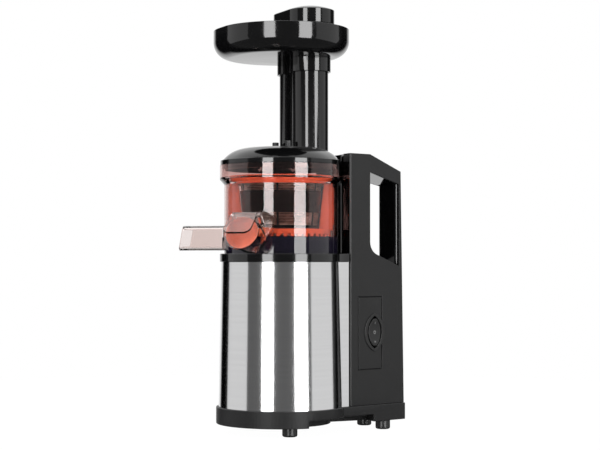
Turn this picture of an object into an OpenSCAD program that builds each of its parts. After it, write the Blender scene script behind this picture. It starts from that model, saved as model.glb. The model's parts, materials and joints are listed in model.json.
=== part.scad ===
// Upright slow juicer: a geared motor in a steel-clad body turns an auger inside a see-through bowl.
// Frame: origin on the drive axis at the level the feet stand on, +Z up, +Y to the carrying handle,
// +X to the side with the power switch.

/* [Stand] */
// Height of the rubber feet
foot_h = 9.5; // [6:0.5:12]
// Radius of a foot
foot_r = 7.8; // [6:0.1:9]
// Distance of the front feet from the middle plane
foot_front_x = 47; // [40:1:50]
// Distance of the front feet from the drive axis, towards the front
foot_front_y = 12; // [5:1:20]
// Distance of the rear feet from the middle plane
foot_rear_x = 21; // [18:1:22]
// Distance of the rear feet behind the drive axis
foot_rear_y = 110; // [104:1:114]
// Radius of the stem that holds a foot in the base
foot_stem_r = 2.6; // [2.2:0.1:3]
// Height of that stem above the foot
foot_stem_h = 6; // [5:0.5:7]
// Size of the worn edge under a foot
foot_edge = 1.2; // [0.8:0.1:2]

/* [Base] */
// Radius of the round front of the base
base_r = 68; // [67:0.5:71]
// How far the base reaches behind the drive axis
base_rear_y = 136.5; // [134:0.5:140]
// Height of the base moulding
base_h = 17.5; // [14:0.5:20]
// How far the base stands out past the steel and the side panels
base_lip = 2.2; // [1.5:0.1:3]
// Wall of the base moulding
base_wall = 3; // [2:0.5:4]
// Height by which the skirt is raised between the front and rear pods
skirt_lift = 7.5; // [5:0.5:9]
// Where the raised stretch of skirt ends at the rear
rear_pod_y = 92; // [88:1:96]
// Radius of the round pod under the front
front_pod_r = 52; // [46:1:56]
// Half width of the rib between the two pods
rib_half_w = 17; // [15:0.5:20]
// Distance of the base screws from the middle plane
screw_x = 10; // [8:0.5:12]
// Distance of the base screws behind the drive axis
screw_y = 98; // [95:0.5:101]
// Radius of a base screw's shank
screw_r = 1.9; // [1.5:0.1:2.2]
// Radius of a base screw's head
screw_head_r = 3.6; // [3:0.1:4.2]
// Height of a base screw's head
screw_head_h = 2.6; // [2:0.1:2.8]
// Length of a base screw
screw_l = 22; // [18:1:24]

/* [Motor body] */
// Outer radius of the steel shell at its lower edge
steel_r_low = 65.5; // [64:0.1:66]
// Outer radius of the steel shell at its upper edge
steel_r_high = 62.9; // [62:0.1:64]
// Height of the steel shell
steel_h = 151; // [145:1:160]
// Thickness of the steel sheet
steel_sheet = 1.2; // [0.8:0.1:1.6]
// Where the steel ends behind the drive axis
steel_rear_y = 59.5; // [58:0.5:61]
// Half width that the side flats would have beside the drive axis
flat_half_w = 54.9; // [53:0.1:56]
// Angle by which each side flat turns inwards to the rear
flat_angle = 14.04; // [12:0.1:15]
// Thickness of the deck on top of the steel shell
deck_h = 8.5; // [7:0.5:10]
// Outer radius of the deck
deck_r = 64.4; // [63:0.1:65]
// Radius of the bosses that carry the gearbox under the deck
boss_r = 5; // [4:0.5:6]
// Radius of the raised hub round the output shaft
hub_r = 16; // [14:0.5:17]
// Height of that hub above the deck
hub_h = 6; // [5:0.5:7]
// Height of the rim that centres the bowl
seat_rim_h = 12.6; // [8:0.2:13]
// Distance from the bowl's inside to the inside of that rim
seat_rim_t = 3.2; // [2.4:0.1:4]
// Width of the rim's notch, where the pulp duct passes
notch_w = 28; // [26:0.5:32]
// Radius of the shaft seal
seal_r = 11; // [9:0.5:12]
// Height of the shaft seal
seal_h = 4; // [3:0.5:5]

/* [Tower] */
// Where the tower's front face stands behind the drive axis
tower_front_y = 61.5; // [61:0.1:63]
// Height of the tower's flat top
tower_top_z = 292; // [285:1:300]
// Where the flat top ends and the slope to the grip begins
tower_slope_y = 89; // [84:1:94]
// Height of the sloped top at its rear end
tower_rear_z = 275; // [268:1:282]
// Rear face of the tower at its top
tower_rear_top_y = 132; // [130:0.5:134]
// Rear face of the tower at its foot
tower_rear_low_y = 136; // [134:0.5:136.5]
// Thickness of the side panels
panel_t = 2.5; // [2:0.1:3.5]
// Wall of the tower frame
tower_wall = 3; // [2.5:0.1:4]
// Gap between the tower's hollowed front and the bowl's collar
nest_gap = 1.6; // [1.2:0.1:2]
// Front edge of the hand opening
hand_front_y = 89; // [86:0.5:92]
// Front face of the grip post
grip_front_y = 127; // [120:0.5:127.5]
// Radius of the grip post's front edges
grip_round = 3.5; // [2:0.5:3.5]
// How much further back the side panels' openings reach than the grip post's front face
grip_reveal = 2.5; // [1.5:0.5:3]
// Upper front corner of the hand opening
hand_top_z = 273; // [268:1:276]
// Upper rear corner of the hand opening
hand_top_rear_z = 261.8; // [258:0.2:266]
// Radius of the hand opening's lower front corner
hand_corner_r = 14; // [8:1:16]
// Height of the hand opening's lower front corner centre
hand_corner_z = 199; // [195:1:205]
// Slope of the hand opening's floor
hand_floor_angle = 21.6; // [15:0.1:25]

/* [Switch] */
// Height of the power switch
switch_z = 103.5; // [90:0.5:120]
// Position of the power switch behind the drive axis
switch_y = 94.3; // [90:0.5:100]
// Height of the oval bezel
bezel_h = 40.6; // [36:0.1:44]
// Width of the oval bezel
bezel_w = 28.4; // [24:0.1:30]
// Width of the rocker
rocker_w = 17.2; // [14:0.2:18]
// Height of the rocker
rocker_h = 31.8; // [28:0.2:32.4]
// How far the bezel's flange laps over the panel
bezel_cover = 1.6; // [1.3:0.1:2]
// How far the bezel stands out
bezel_stand = 1; // [0.6:0.1:1.4]
// How far the switch body reaches in
bezel_depth = 16; // [14:0.5:18]
// Wall at the back of the switch body
switch_skin = 2; // [1.5:0.1:2.5]
// How far the rocker stands out
rocker_stand = 1.6; // [1.2:0.1:2]
// Radius of the rocker's pin
rocker_pin_r = 1.5; // [1.2:0.1:1.8]
// Depth of the rocker's pin behind the panel
rocker_depth = 7; // [6:0.5:8]
// Room round the rocker, in which it tilts
rocker_room = 1.4; // [1.3:0.1:1.6]
// How far the tips of the rocker's oval are cut off
rocker_blunt = 0.5; // [0.3:0.1:0.8]
// Width of the groove that frames the switch
groove_w = 0.8; // [0.6:0.1:1.2]
// Depth of that groove
groove_depth = 0.5; // [0.3:0.1:0.8]
// Reach of the frame in front of the switch
groove_front = 22; // [20:0.5:24]
// Reach of the frame behind the middle of the switch
groove_rear = 10.4; // [8:0.2:14]
// Reach of the frame above the switch
groove_up = 37; // [30:1:40]
// Reach of the frame below the switch
groove_down = 38.5; // [30:0.5:42]

/* [Electrics] */
// Front face of the circuit board behind the drive axis
board_y = 92; // [90:0.5:95]
// Thickness of the circuit board
board_t = 1.6; // [1:0.2:2]
// Height of the circuit board's lower edge
board_z = 58; // [54:1:62]
// Width of the circuit board
board_w = 34; // [30:1:36]
// Height of the circuit board
board_h = 96; // [92:1:100]
// Radius of the posts that hold the board
post_r = 3.5; // [3:0.5:4.5]
// Height of the cord gland
gland_z = 46; // [44:1:56]
// Radius of the cord gland
gland_r = 6; // [5:0.5:7]

/* [Drive] */
// Teeth of the motor pinion and of the layshaft pinion
pinion_teeth = 12; // [12:1:14]
// Teeth of the layshaft gear and of the output gear
gear_teeth = 48; // [46:1:48]
// Module of the gearbox teeth
gear_module = 1; // [0.9:0.05:1]
// Face width of the gearbox gears
gear_w = 9; // [7:0.5:10]
// Radius of the motor and layshaft shafts
shaft_r = 4; // [3:0.1:5]
// Radius of the output shaft
output_r = 6; // [5:0.1:7]
// Width across the flats of the drive hexagon
hex_w = 9; // [8:0.1:10]
// Outer radius of the motor can
motor_r = 37; // [34:0.5:40]
// Height of the motor can
motor_h = 72; // [66:1:74]
// Wall of the motor can
motor_wall = 2; // [1.5:0.1:3]
// Radius of the rotor core
rotor_r = 21; // [18:0.5:23]
// Air gap between rotor and stator
air_gap = 0.6; // [0.4:0.1:1]
// Wall of the gearbox case
gearbox_wall = 3; // [2:0.5:4]
// Outer radius of the gearbox case
gearbox_r = 58.5; // [58.3:0.1:59]
// Thickness of the rubber ring under the motor
cushion_h = 5; // [4:0.5:6]
// Outer radius of the motor's bearings
bearing_r = 9; // [8:0.5:10]
// Width of the motor's bearings
bearing_w = 6; // [5:0.5:7]
// Gap between the two gear stages
stage_gap = 2; // [1.5:0.5:3]
// Outer radius of the output bearing
output_bearing_r = 13; // [11:0.5:14]
// Width of the output bearing
output_bearing_w = 9; // [7:0.5:10]
// Length of the drive hexagon
hex_h = 10; // [8:0.5:11]

/* [Bowl] */
// Outer radius of the bowl
bowl_r = 59.8; // [59:0.1:61]
// Wall of the bowl
bowl_wall = 2.6; // [2:0.1:3]
// Height of the bowl's straight wall up to the collar
bowl_h = 73.5; // [70:0.5:78]
// Outer radius of the collar round the bowl's mouth
collar_r = 64.5; // [64:0.1:66]
// Height of the collar
collar_h = 19; // [16:0.5:22]
// Height of the bowl's upper floor above the deck
floor_rise = 17; // [16:0.5:19]
// Thickness of the bowl's floor
floor_t = 3; // [2:0.5:3.5]

/* [Outlets] */
// Direction of the pulp spout, round from the front
pulp_angle = -45; // [-50:1:-40]
// Distance of the pulp spout's tip from the drive axis
pulp_reach = 110.5; // [105:0.5:120]
// Width of the pulp spout
pulp_w = 32; // [28:1:34]
// Height of the pulp spout
pulp_h = 26; // [24:1:28]
// Direction of the juice outlet, round from the front
juice_angle = 45; // [40:1:50]
// Distance of the juice outlet's mouth from the drive axis
juice_reach = 94; // [90:1:98]
// Height of the middle of the mouth above the deck
juice_mouth_rise = 17; // [16:0.5:19]
// Downward slope of the juice outlet
juice_slope = 19.4; // [15:0.1:22]
// Radius of the juice outlet where it leaves the bowl
juice_root_r = 13.5; // [12:0.1:14]
// Radius of the juice outlet's mouth
juice_mouth_r = 18; // [17:0.1:19]
// Wall of the juice outlet
juice_wall = 2.2; // [2:0.1:3]
// Angle by which the drip cap stands open
cap_open = 45; // [40:1:50]
// Width of the drip cap's hinge
hinge_w = 24; // [20:1:26]
// Radius of the hinge barrel
hinge_r = 3; // [2.8:0.1:3.5]
// Radius of the hinge pin
hinge_pin_r = 1.2; // [1:0.1:1.5]
// Radius of the hole the pulp falls through
pulp_hole_r = 8; // [7:0.5:8.5]
// Distance of that hole from the drive axis
pulp_hole_off = 27; // [26:0.5:28]
// Height of the pulp duct
duct_h = 9; // [8:0.5:9.5]
// Wall of the pulp duct
duct_wall = 2; // [1.6:0.1:2.4]
// Angle by which the spout's end leans back
spout_slant = 10.5; // [6:0.5:15]
// Height of the seal under the bowl's hub
bowl_seal_h = 5; // [4:0.5:5.5]
// Radius of the clean out plug under the duct
plug_r = 5; // [4:0.5:5.5]
// Distance of that plug from the drive axis
plug_off = 44; // [43:0.5:46]
// Angle by which the cap's tongue stands off its plate
tongue_angle = 26; // [20:1:30]
// Length of the cap's tongue
tongue_l = 32; // [26:1:34]
// Corner radius of the cap's tongue
tongue_round = 7; // [3:0.5:10]

/* [Pressing set] */
// Outer radius of the strainer at its upper edge
strainer_r_high = 43; // [42:0.1:43.5]
// Outer radius of the strainer at its lower edge
strainer_r_low = 38; // [37:0.1:38.5]
// Height of the strainer's steel wall
strainer_h = 48; // [45:0.5:50]
// Thickness of the strainer's steel wall
strainer_sheet = 0.9; // [0.6:0.1:1.2]
// Module of the brush drive teeth
brush_module = 1.25; // [1.2:0.05:1.25]
// Teeth of the gear under the auger and of the idler
sun_teeth = 24; // [23:1:24]
// Width of the two brush arms
brush_arm_w = 12; // [8:1:14]
// Height of the ring that joins the brush arms at the top
brush_rim_h = 8.5; // [3:0.5:8.5]
// Radius of the auger's core
auger_core_r = 22; // [18:0.5:24]
// Radius of the auger's flights
auger_r = 35.5; // [33:0.5:36]
// Radius of the steel shaft under the auger
auger_shaft_r = 9; // [8:0.1:10]
// Radius of the idler gear's pin
idler_pin_r = 3; // [2.6:0.1:3.4]
// Distance of the strainer's posts from the drive axis
post_off = 37; // [36:0.5:37]
// Radius of those posts
post_size = 3; // [2.5:0.1:3]
// Thickness of a wiper
wiper_t = 2.4; // [2:0.1:3]
// Notches along the foot of the brush ring
ring_notches = 45; // [40:1:54]
// Width of such a notch
notch_gap = 3.4; // [2.4:0.1:3.6]
// Height of such a notch
notch_rise = 3.2; // [2:0.1:4]

/* [Lid] */
// Radius of the lid's rim
lid_r = 63.8; // [63:0.1:64.4]
// Height of the lid's rim
lid_rim_h = 5; // [4:0.5:6]
// Height of the dome above the rim
dome_h = 14; // [10:0.5:16]
// Wall of the lid and the feed tube
lid_wall = 2.6; // [2:0.1:3]
// Depth to which the lid's skirt reaches into the collar
lid_skirt = 5; // [4:0.5:10]
// Half distance between the two round ends of the feed tube
tube_half = 16; // [12:0.5:18]
// Outer radius of the feed tube's round ends
tube_r = 18.8; // [17:0.1:19.5]
// Position of the feed tube behind the drive axis
tube_y = 26.5; // [25:0.5:28]
// Height of the feed tube's upper end above the dome
tube_h = 98; // [80:1:110]
// How square the dome's shoulder is
dome_power = 5.6; // [3:0.1:6]
// Width of the step that stops the pusher
ledge = 1.6; // [1.2:0.1:2]
// Distance of the two rubber stops from the middle plane
stop_x = 16; // [12:0.5:20]
// Distance of the rubber stops behind the drive axis
stop_y = 1; // [-2:0.5:2]
// Radius of a rubber stop
stop_r = 3.4; // [2.6:0.1:3.8]

/* [Hopper and pusher] */
// Length of the hopper tray
tray_l = 151; // [140:1:160]
// Width of the hopper tray
tray_w = 137; // [130:1:145]
// Height of the hopper tray
tray_h = 29; // [24:1:34]
// Wall of the hopper tray
tray_wall = 2.4; // [2:0.1:3]
// Radius of the tray's lower edge
tray_edge_r = 17; // [10:1:18]
// Depth of the socket that holds the tray on the feed tube
socket_h = 15; // [12:0.5:20]
// Height of the pusher's cap
cap_h = 20; // [16:1:24]
// How far the pusher's cap stands out past the feed tube
cap_lip = 6.5; // [4:0.5:8]
// Wall of the pusher
pusher_wall = 2.4; // [2:0.1:3]
// Height of the pusher's cap above the tray's rim
cap_rise = 6; // [2:1:10]
// Wall of the socket that holds the tray on the tube
socket_wall = 2.2; // [1.8:0.1:2.8]

/* [Fits] */
// Radial clearance of a running shaft
running_fit = 0.08; // [0.05:0.01:0.1]
// Clearance between pieces that are pressed or set together
set_fit = 0.1; // [0.05:0.01:0.15]
// Clearance between pieces that move past each other
slide_gap = 0.4; // [0.3:0.05:0.6]

/* [Hidden] */
$fn = 96;
over = 1;        // how far a cutting solid runs past the face it cuts
span = 400;      // wider than any piece
flat_slope = tan(flat_angle);
flat_stretch = 1 / cos(flat_angle);

// levels
base_z = foot_h;
skirt_z = base_z + skirt_lift;
steel_z = base_z + base_h;
deck_z = steel_z + steel_h;
deck_top = deck_z + deck_h;
floor_top = deck_top + floor_rise;
collar_z = deck_top + bowl_h;
lid_z = collar_z + collar_h;
dome_z = lid_z + lid_rim_h;
dome_top = dome_z + dome_h;
tube_top = dome_top + tube_h;
tray_floor = tube_top - 4;       // underside of the tray; the tube ends just inside it
tray_top = tray_floor + tray_h;
pusher_top = tray_top + cap_rise + cap_h;
cap_z = tray_top + cap_rise;

// half width between the side flats at a distance y behind the axis
function half_w(y, grow = 0) = flat_half_w - flat_slope * y + grow * flat_stretch;
// outer radius of the steel at height z
function steel_r(z) = steel_r_low + (steel_r_high - steel_r_low) * (z - steel_z) / steel_h;
// a unit vector in plan at an angle round from the front, positive towards the switch side
function around(a) = [sin(a), -cos(a)];

module wedge(y0, y1, grow = 0) {
    polygon([[-half_w(y0, grow), y0], [half_w(y0, grow), y0], [half_w(y1, grow), y1],
            [-half_w(y1, grow), y1]]);
}

module steel_solid(grow, z0, z1) {
    union() {
        translate([0, 0, z0]) cylinder(h = z1 - z0, r1 = steel_r(z0) + grow, r2 = steel_r(z1) + grow);
        translate([0, 0, z0]) linear_extrude(z1 - z0) wedge(0, steel_rear_y + over, grow);
    }
}

// keeps what lies in front of a plane y
module before(y) {
    intersection() {
        children();
        translate([-span / 2, -span / 2, -span / 2]) cube([span, span / 2 + y, span * 2]);
    }
}

// a ring-shaped or solid cylinder
module tube(r, hole, z, h) {
    translate([0, 0, z]) difference() {
        cylinder(h = h, r = r);
        translate([0, 0, -over]) cylinder(h = h + 2 * over, r = hole);
    }
}

// involute teeth: half the angle of a tooth at radius r
pressure = 25;
function involute(a) = tan(a) * 180 / PI - a;
function tooth_half(r, n, m, play) =
    let (pitch = n * m / 2, ground = pitch * cos(pressure))
    90 / n + play / pitch * 180 / PI + involute(pressure) - involute(acos(min(1, ground / max(r, ground))));
module teeth(n, m, addendum, dedendum, play) {
    pitch = n * m / 2;
    tip = pitch + addendum * m;
    root = pitch - dedendum * m;
    radii = [for (k = [0 : 4]) root + (tip - root) * k / 4];
    polygon([for (t = [0 : n - 1]) each concat(
        [for (r = radii) let (a = t * 360 / n - tooth_half(r, n, m, play)) [r * cos(a), r * sin(a)]],
        [for (k = [4 : -1 : 0]) let (r = radii[k], a = t * 360 / n + tooth_half(r, n, m, play))
            [r * cos(a), r * sin(a)]])]);
}
tooth_play = -0.09;   // each flank of a gear is set back by this
module gear(n, m) { teeth(n, m, 0.9, 1.2, tooth_play); }
module gear_hollow(n, m) { teeth(n, m, 1.2, 0.9, -tooth_play); }

// two round ends joined by straight flanks, the front flank drawn in a little
module pod(half, r) {
    difference() {
        union() {
            for (s = [-1, 1]) translate([s * half, 0]) circle(r);
            square([2 * half, 2 * r], center = true);
        }
        translate([0, -r - pod_bend_r + pod_bend]) circle(pod_bend_r, $fn = 180);
    }
}
pod_bend = 1.3;       // depth of the hollow along the front flank
pod_bend_r = 70;      // radius of that hollow
module tube_plan(inset = 0) { translate([0, tube_y]) pod(tube_half, tube_r - inset); }

// ---------- stand ----------

module base_plan(inset = 0) {
    circle(base_r - inset);
    wedge(0, base_rear_y - inset, base_lip - inset);
}

module base() {
    pod_floor = base_z + base_wall;
    mid_floor = skirt_z + base_wall;
    lip_h = 4;
    color([0.09, 0.09, 0.1]) difference() {
        union() {
            translate([0, 0, base_z]) linear_extrude(base_h) base_plan();
            // the lip that stands inside the steel shell
            before(steel_rear_y - over) steel_solid(-steel_sheet - set_fit, steel_z - over, steel_z + lip_h);
        }
        // the skirt is raised beside the rib between the pods
        difference() {
            translate([-span / 2, 0, base_z - over]) cube([span, rear_pod_y, skirt_lift + over]);
            translate([0, 0, base_z - 2 * over]) cylinder(h = base_h, r = front_pod_r);
            translate([-rib_half_w, 0, base_z - 2 * over]) cube([2 * rib_half_w, rear_pod_y, base_h]);
        }
        // hollow inside, down to the pods' floors
        translate([0, 0, mid_floor]) linear_extrude(span) intersection() {
            base_plan(base_wall);
            union() {
                circle(steel_r_high - steel_sheet - base_wall);
                wedge(0, base_rear_y - base_wall, -steel_sheet - base_wall);
            }
        }
        translate([0, 0, pod_floor]) cylinder(h = base_h, r = front_pod_r - base_wall);
        for (s = [-1, 1]) translate([s * screw_x, screw_y, 0]) {
            cylinder(h = span, r = screw_r + set_fit);
            cylinder(h = base_z + screw_head_h, r = screw_head_r + set_fit);
        }
        for (s = [-1, 1]) translate([s * foot_front_x, -foot_front_y, 0])
            cylinder(h = span, r = foot_stem_r + set_fit);
        for (s = [-1, 1]) translate([s * foot_rear_x, foot_rear_y, 0])
            cylinder(h = span, r = foot_stem_r + set_fit);
    }
}

module foot(x, y) {
    color([0.05, 0.05, 0.05]) translate([x, y, 0]) {
        cylinder(h = foot_edge, r1 = foot_r - foot_edge, r2 = foot_r);
        translate([0, 0, foot_edge]) cylinder(h = foot_h - foot_edge, r = foot_r);
        cylinder(h = foot_h + foot_stem_h, r = foot_stem_r);
    }
}
module foot_front_left() { foot(-foot_front_x, -foot_front_y); }
module foot_front_right() { foot(foot_front_x, -foot_front_y); }
module foot_rear_left() { foot(-foot_rear_x, foot_rear_y); }
module foot_rear_right() { foot(foot_rear_x, foot_rear_y); }

// two screws from below into the tower's foot
module base_screws() {
    color([0.6, 0.6, 0.62]) for (s = [-1, 1]) translate([s * screw_x, screw_y, base_z]) {
        cylinder(h = screw_head_h, r = screw_head_r);
        cylinder(h = screw_l, r = screw_r);
    }
}

// ---------- motor body ----------

module steel_shell() {
    color([0.75, 0.75, 0.76]) before(steel_rear_y) difference() {
        steel_solid(0, steel_z, deck_z);
        steel_solid(-steel_sheet, steel_z - over, deck_z + over);
    }
}

// bosses under the deck carry the gearbox
boss_at = [[50, 0], [-50, 0], [0, -50]];
module deck() {
    deck_skin = 3.5;
    color([0.03, 0.03, 0.035]) difference() {
        union() {
            before(steel_rear_y) translate([0, 0, deck_z]) linear_extrude(deck_h) {
                circle(deck_r);
                wedge(0, steel_rear_y + over, deck_r - steel_r_high);
            }
            before(steel_rear_y - over) steel_solid(-steel_sheet - set_fit, deck_z - 5, deck_z + over);
            difference() {
                tube(bowl_in - slide_gap, bowl_in - seat_rim_t, deck_top - over, seat_rim_h + over);
                outward(pulp_angle, 0, span / 2) translate([-notch_w / 2, deck_top + 1.6])
                    square([notch_w, span]);
            }
            translate([0, 0, deck_top - over]) cylinder(h = hub_h + over, r = hub_r);
            for (p = boss_at) translate([p.x, p.y, gearbox_top])
                cylinder(h = deck_z - gearbox_top + over, r = boss_r);
        }
        // hollow underneath, round the bosses
        difference() {
            before(steel_rear_y - 4) union() {
                translate([0, 0, gearbox_top + over]) cylinder(h = deck_top - deck_skin - gearbox_top - over,
                    r = steel_r_high - steel_sheet - 3);
                translate([0, 0, gearbox_top + over])
                    linear_extrude(deck_top - deck_skin - gearbox_top - over)
                    wedge(0, steel_rear_y, -steel_sheet - 3);
            }
            for (p = boss_at) translate([p.x, p.y, 0]) cylinder(h = span, r = boss_r);
            cylinder(h = span, r = hub_r);
        }
        // room for the shaft and its seal
        cylinder(h = span, r = output_r + slide_gap);
        translate([0, 0, deck_top + hub_h - seal_h]) cylinder(h = span, r = seal_r + set_fit);
    }
}

module shaft_seal() {
    color([0.12, 0.12, 0.12]) tube(seal_r, output_r + slide_gap, deck_top + hub_h - seal_h, seal_h);
}

// ---------- tower and handle ----------

// the tower's outline seen from the side, as [y, z]
module tower_outline() {
    polygon([[tower_front_y, steel_z], [tower_front_y, tower_top_z], [tower_slope_y, tower_top_z],
             [tower_rear_top_y, tower_rear_z], [tower_rear_low_y, steel_z]]);
}

function hand_low() = [hand_front_y + hand_corner_r, hand_corner_z]
    - hand_corner_r * [sin(hand_floor_angle), cos(hand_floor_angle)];
// heights of the opening's slanting floor and top at a distance y behind the axis
function hand_floor(y) = hand_low().y - (y - hand_low().x) * tan(hand_floor_angle);
function hand_top(y) =
    hand_top_z - (hand_top_z - hand_top_rear_z) * (y - hand_front_y) / (grip_front_y - hand_front_y);

module hand_outline(rear) {
    centre = [hand_front_y + hand_corner_r, hand_corner_z];
    union() {
        polygon([[hand_front_y, hand_top_z], [rear, hand_top(rear)], [rear, hand_floor(rear)],
                 hand_low(), centre, [hand_front_y, hand_corner_z]]);
        translate(centre) circle(hand_corner_r);
    }
}

// stands a side-view outline up and runs it across the whole width
module across() {
    rotate([90, 0, 90]) translate([0, 0, -span / 2]) linear_extrude(span) children();
}

module tower_solid(grow, reveal = 0) {
    intersection() {
        across() difference() {
            tower_outline();
            hand_outline(grip_front_y + reveal);
        }
        translate([0, 0, -span / 2]) linear_extrude(2 * span)
            wedge(tower_front_y - over, tower_rear_low_y + over, grow);
    }
}

// what is cut away in plan to round the grip post's front edge on the +X side
module grip_corner(core) {
    centre = [half_w(grip_front_y + grip_round, core) - grip_round * flat_stretch, grip_front_y + grip_round];
    tangent = centre + grip_round * [cos(flat_angle), sin(flat_angle)];
    difference() {
        polygon([centre, [centre.x, grip_front_y - over], [span, grip_front_y - over], [span, tangent.y],
                 tangent]);
        translate(centre) circle(grip_round);
    }
}

// the tower's front is hollowed round the bowl, so its upper room stands further back
nest_r = collar_r + nest_gap;
upper_room_y = nest_r + tower_wall;
module tower_frame() {
    core = -panel_t - set_fit;
    room_top = hand_corner_z - hand_corner_r * 2 - tower_wall;
    corner_z = hand_floor(grip_front_y) + 0.6;
    corner_h = hand_top(grip_front_y) - 0.6 - corner_z;
    color([0.04, 0.04, 0.045]) difference() {
        tower_solid(core);
        for (s = [0, 1]) mirror([s, 0, 0]) translate([0, 0, corner_z]) linear_extrude(corner_h)
            grip_corner(core);
        // the room behind the motor, open to both side panels
        difference() {
            translate([-span / 2, tower_front_y + tower_wall, steel_z + tower_wall])
                cube([span, tower_rear_low_y - tower_front_y - 4 * tower_wall,
                        room_top - steel_z - tower_wall]);
            for (z = board_posts_z) translate([0, 0, z]) rotate([-90, 0, 0])
                cylinder(h = board_y, r = post_r);
        }
        // the room in the upper post
        translate([-half_w(hand_front_y, core) + tower_wall, upper_room_y, deck_top])
            cube([2 * half_w(hand_front_y, core) - 2 * tower_wall, hand_front_y - upper_room_y - tower_wall,
                  tower_top_z - tower_wall - deck_top]);
        translate([0, 0, deck_top + 1]) cylinder(h = span, r = nest_r, $fn = 180);
        for (s = [-1, 1]) translate([s * screw_x, screw_y, 0])
            cylinder(h = base_z + screw_l + over, r = screw_r + set_fit);
        translate([0, 0, gland_z]) rotate([-90, 0, 0]) cylinder(h = span, r = gland_r + set_fit);
    }
}

// moves a child drawn on the XY plane onto a side flat: x runs to the rear, y up, z out; side is -1 or 1
module on_flat(side, y, z, grow = 0) {
    mirror([side < 0 ? 1 : 0, 0, 0])
        translate([half_w(y, grow), y, z]) rotate([0, 0, flat_angle]) rotate([90, 0, 90]) children();
}

// an upright oval of two arcs
module oval(w, h) {
    arc_r = (w * w + h * h) / (4 * w);
    intersection_for (s = [-1, 1]) translate([s * (arc_r - w / 2), 0]) circle(arc_r, $fn = 180);
}

module side_panel(side) {
    color([0.17, 0.17, 0.18]) difference() {
        tower_solid(0, grip_reveal);
        translate([0, 0, -span / 2]) linear_extrude(2 * span) wedge(0, span / 2, -panel_t);
        translate([side > 0 ? -span : 0, -span / 2, 0]) cube([span, span, span]);
        if (side > 0)
            on_flat(1, switch_y, switch_z) {
                translate([0, 0, -span / 8]) linear_extrude(span / 4)
                    oval(bezel_w - 2 * bezel_cover, bezel_h - 2 * bezel_cover);
                translate([0, 0, -groove_depth]) linear_extrude(span / 8) difference() {
                    groove_plan(groove_w);
                    groove_plan(0);
                }
            }
    }
}
// the groove that frames the switch
module groove_plan(grow) {
    translate([-groove_front - grow, -groove_down - grow])
        square([groove_front + groove_rear + 2 * grow, groove_up + groove_down + 2 * grow]);
}
module side_panel_left() { side_panel(-1); }
module side_panel_right() { side_panel(1); }

// ---------- switch ----------

module switch_bezel() {
    color([0.03, 0.03, 0.03]) on_flat(1, switch_y, switch_z) difference() {
        union() {
            linear_extrude(bezel_stand) oval(bezel_w, bezel_h);
            translate([0, 0, -bezel_depth]) linear_extrude(bezel_depth + bezel_stand)
                oval(bezel_w - 2 * bezel_cover - 2 * set_fit, bezel_h - 2 * bezel_cover - 2 * set_fit);
        }
        translate([0, 0, -bezel_depth + switch_skin]) linear_extrude(span)
            oval(rocker_w + 2 * rocker_room, rocker_h + 2 * rocker_room);
        translate([-bezel_w / 2 + 2.5, 0, -rocker_depth]) rotate([0, 90, 0])
            cylinder(h = bezel_w - 5, r = rocker_pin_r + running_fit, $fn = 48);
    }
}

module rocker() {
    half = rocker_h / 2 - rocker_blunt;
    taper = 1.2;
    dish_r = 70;
    color([0.1, 0.1, 0.1]) on_flat(1, switch_y, switch_z) union() {
        intersection() {
            rotate([90, 0, 90]) translate([0, 0, -rocker_w]) linear_extrude(2 * rocker_w) difference() {
                polygon([[-half, -rocker_depth], [half, -rocker_depth],
                         [half - taper, rocker_stand], [-half + taper, rocker_stand]]);
                translate([0, rocker_stand + dish_r - 1]) circle(dish_r, $fn = 180);
            }
            translate([0, 0, -rocker_depth - over]) linear_extrude(span) oval(rocker_w, rocker_h);
        }
        translate([-bezel_w / 2 + 3, 0, -rocker_depth]) rotate([0, 90, 0])
            cylinder(h = bezel_w - 6, r = rocker_pin_r, $fn = 48);
    }
}

// ---------- electrics ----------

board_posts_z = [board_z + 8, board_z + board_h - 8];
module circuit_board() {
    color([0.05, 0.3, 0.12]) union() {
        translate([-board_w + 8, board_y, board_z]) cube([board_w, board_t, board_h]);
        // a capacitor, a relay and a heat sink
        translate([-14, board_y + board_t, board_z + 30]) rotate([-90, 0, 0]) cylinder(h = 14, r = 6);
        translate([-20, board_y + board_t, board_z + 48]) cube([15, 12, 16]);
        translate([-4, board_y + board_t, board_z + 70]) cube([12, 10, 18]);
    }
}

module interlock_switch() {
    color([0.1, 0.1, 0.12]) translate([-10, upper_room_y, tower_top_z - tower_wall - 16]) union() {
        cube([20, 8, 16]);
        translate([4, 8, 4]) cube([2, 4, 8]);
        translate([14, 8, 4]) cube([2, 4, 8]);
    }
}

module cord_gland() {
    gland_y = tower_rear_low_y;
    color([0.04, 0.04, 0.04]) translate([0, gland_y, gland_z]) rotate([90, 0, 0]) difference() {
        union() {
            translate([0, 0, -4]) cylinder(h = 4, r = gland_r + 2.5);
            translate([0, 0, -4]) cylinder(h = 16, r = gland_r);
        }
        translate([0, 0, -5]) cylinder(h = 18, r = 3.2);
    }
}

// ---------- motor ----------

motor_z = base_z + base_wall + cushion_h;
motor_top = motor_z + motor_h;
module motor_cushion() {
    color([0.08, 0.08, 0.08]) tube(motor_r - 2, motor_r - 9, base_z + base_wall, cushion_h);
}

module motor_can() {
    color([0.5, 0.5, 0.52]) difference() {
        translate([0, 0, motor_z]) cylinder(h = motor_h, r = motor_r);
        translate([0, 0, motor_z + bearing_w + 1]) cylinder(h = motor_h, r = motor_r - motor_wall);
        translate([0, 0, motor_z + 1]) cylinder(h = motor_h, r = bearing_r + set_fit);
        translate([0, 0, motor_z - over]) cylinder(h = motor_h, r = shaft_r + slide_gap);
        for (a = [0 : 45 : 315]) rotate(a) translate([0, 0, motor_z + bearing_w + 6])
            cube([motor_r + over, 7, 8]);
    }
}

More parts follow.
